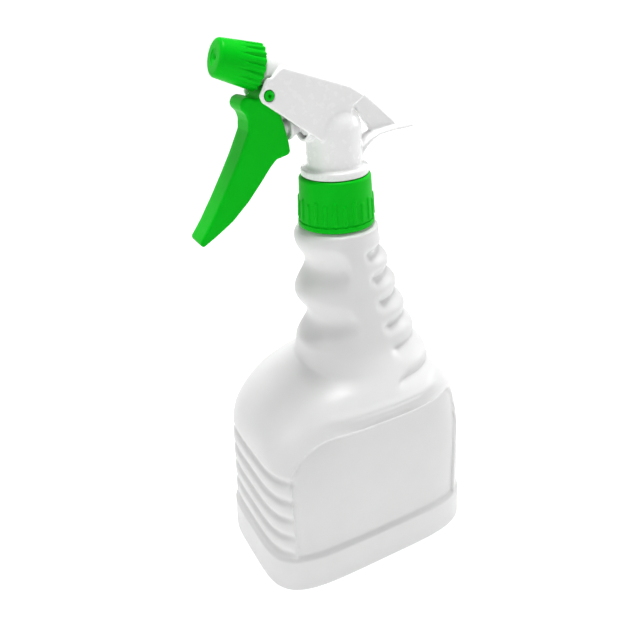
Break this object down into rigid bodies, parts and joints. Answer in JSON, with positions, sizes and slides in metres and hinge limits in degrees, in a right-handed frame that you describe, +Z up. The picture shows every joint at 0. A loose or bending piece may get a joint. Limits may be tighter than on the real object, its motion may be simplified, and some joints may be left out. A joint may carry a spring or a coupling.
{
  "type": "trigger spray bottle",
  "caption": "Hand mister: refillable bottle with finger-grooved grip, screw collar, trigger pump head and twist nozzle on a hollow body with moulded ribs.",
  "frame": {"origin": "on the neck's axis, at the flat pad under the bottle, level with the surface it stands on", "axes": "+Z up along the neck's axis; -X forwards, the way the nozzle sprays; +Y to the left of a user holding it"},
  "size_m": [0.1217, 0.0766, 0.2524],
  "materials": {
    "bottle": "satin milky polyethylene",
    "green_plastic": "satin green polypropylene",
    "white_plastic": "smooth white polypropylene",
    "natural_plastic": "uncoloured polyethylene",
    "soft_seal": "black seal rubber",
    "steel": "bright stainless steel"
  },
  "bodies": {
    "bottle": {"bottle": "bottle"},
    "closure": {"neck_gasket": "soft_seal"},
    "collar": {"screw_collar": "green_plastic"},
    "head": {"spray_head": "white_plastic", "tube_retainer": "natural_plastic", "dip_tube": "natural_plastic", "dip_strainer": "natural_plastic", "valve_seat": "natural_plastic", "swirl_insert": "natural_plastic", "nozzle_seal_ring": "soft_seal", "outlet_spring": "steel", "return_spring": "steel"},
    "suction_ball": {"suction_ball": "steel"},
    "outlet_ball": {"outlet_ball": "steel"},
    "trigger": {"trigger": "green_plastic"},
    "piston": {"piston": "white_plastic", "piston_cup_seal": "soft_seal", "piston_vent_seal": "soft_seal"},
    "nozzle_slide": {"nozzle_washer": "soft_seal"},
    "nozzle_cap": {"nozzle_cap": "green_plastic"}
  },
  "joints": [
    {"name": "closure_rise", "type": "slide", "parent": "bottle", "child": "closure", "axis": [0, 0, 1], "range_m": [0, 0.00629]},
    {"name": "collar_turn", "type": "hinge", "parent": "closure", "child": "collar", "pos_m": [0, 0, 0.173], "axis": [0, 0, 1], "range_deg": [0, 540]},
    {"name": "head_swivel", "type": "hinge", "parent": "closure", "child": "head", "pos_m": [0, 0, 0.1965], "axis": [0, 0, 1], "continuous": true},
    {"name": "suction_ball_lift", "type": "slide", "parent": "head", "child": "suction_ball", "axis": [0, 0, 1], "range_m": [0, 0.0005]},
    {"name": "outlet_ball_lift", "type": "slide", "parent": "head", "child": "outlet_ball", "axis": [-0.9511, 0, 0.309], "range_m": [0, 0.001], "stiffness_N_per_m": 20, "springref_m": -0.001, "deforming": ["outlet_spring"]},
    {"name": "trigger_pull", "type": "hinge", "parent": "head", "child": "trigger", "pos_m": [-0.0312, 0, 0.2312], "axis": [0, -1, 0], "range_deg": [0, 17], "stiffness_Nm_per_rad": 0.149, "springref_deg": -14.55},
    {"name": "piston_slide", "type": "slide", "parent": "head", "child": "piston", "axis": [1, 0, 0], "range_m": [0, 0.0047], "deforming": ["return_spring"]},
    {"name": "nozzle_advance", "type": "slide", "parent": "head", "child": "nozzle_slide", "axis": [-0.9511, 0, 0.309], "range_m": [0, 0.00239]},
    {"name": "nozzle_turn", "type": "hinge", "parent": "nozzle_slide", "child": "nozzle_cap", "pos_m": [-0.0318, 0, 0.2406], "axis": [-0.9511, 0, 0.309], "range_deg": [0, 360]}
  ],
  "couplings": [
    {"joint": "collar_turn", "follows": "closure_rise", "rad_per_m": 1497},
    {"joint": "piston_slide", "follows": "trigger_pull", "m_per_rad": 0.01576},
    {"joint": "nozzle_turn", "follows": "nozzle_advance", "rad_per_m": 2618}
  ]
}
